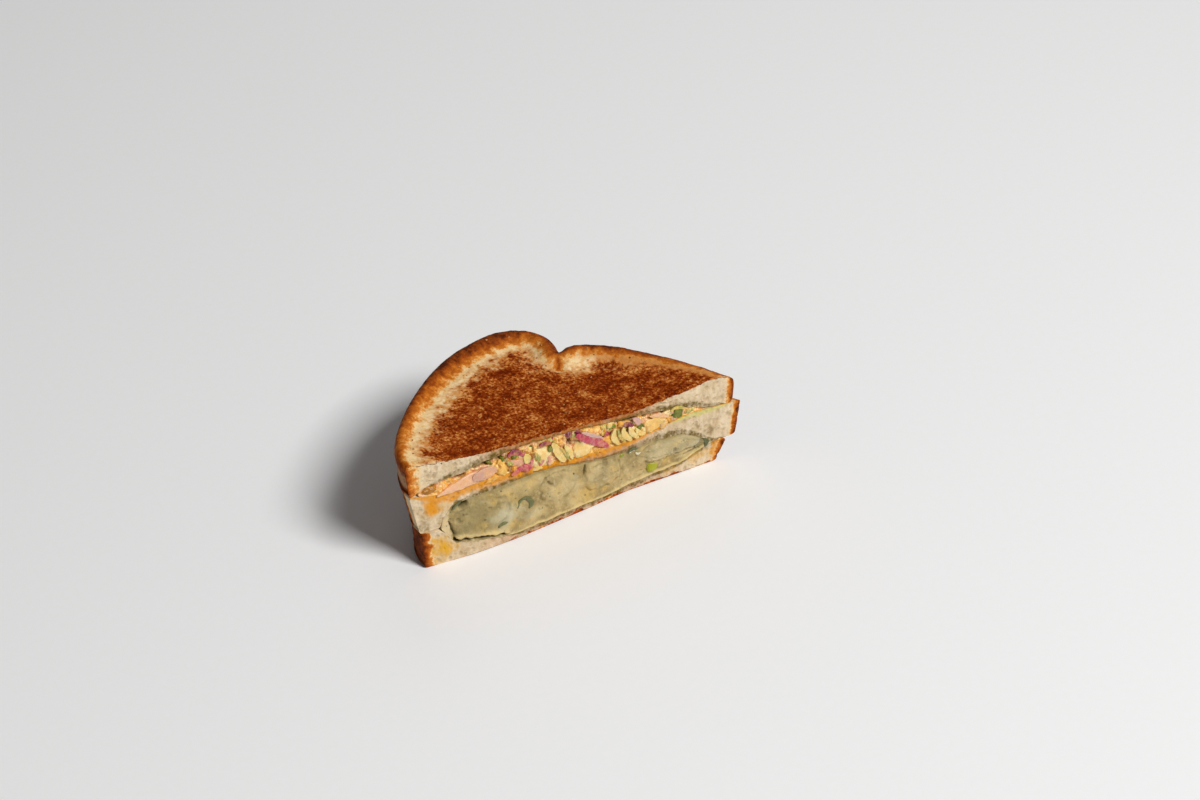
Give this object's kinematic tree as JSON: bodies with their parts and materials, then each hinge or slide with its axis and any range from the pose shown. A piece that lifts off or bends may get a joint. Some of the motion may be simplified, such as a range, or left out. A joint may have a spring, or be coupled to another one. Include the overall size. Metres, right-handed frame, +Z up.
{
  "type": "club sandwich half",
  "caption": "Toasted club sandwich half cut corner to corner, with sliced bread, mashed potato and shredded slaw layers showing on the cut face.",
  "frame": {"origin": "on the surface that the half lies on, midway between its cut face and its far crust", "axes": "+Z up, +X along the cut face towards its thin end, +Y away from the cut face"},
  "size_m": [0.1463, 0.0689, 0.0504],
  "materials": {
    "bread_bottom": "soft white bread, griddled brown underneath, with a brown crust",
    "potato_filling": "moist mashed potato with herbs",
    "bread_middle": "soft white bread with a brown crust",
    "slaw_filling": "moist shredded onion and cabbage in orange dressing",
    "bread_top": "griddled bread, browned on top, with pale crumb at the cut"
  },
  "bodies": {
    "root": {"bread_bottom": "bread_bottom", "potato_filling": "potato_filling", "bread_middle": "bread_middle", "slaw_filling": "slaw_filling", "bread_top": "bread_top"}
  },
  "joints": []
}
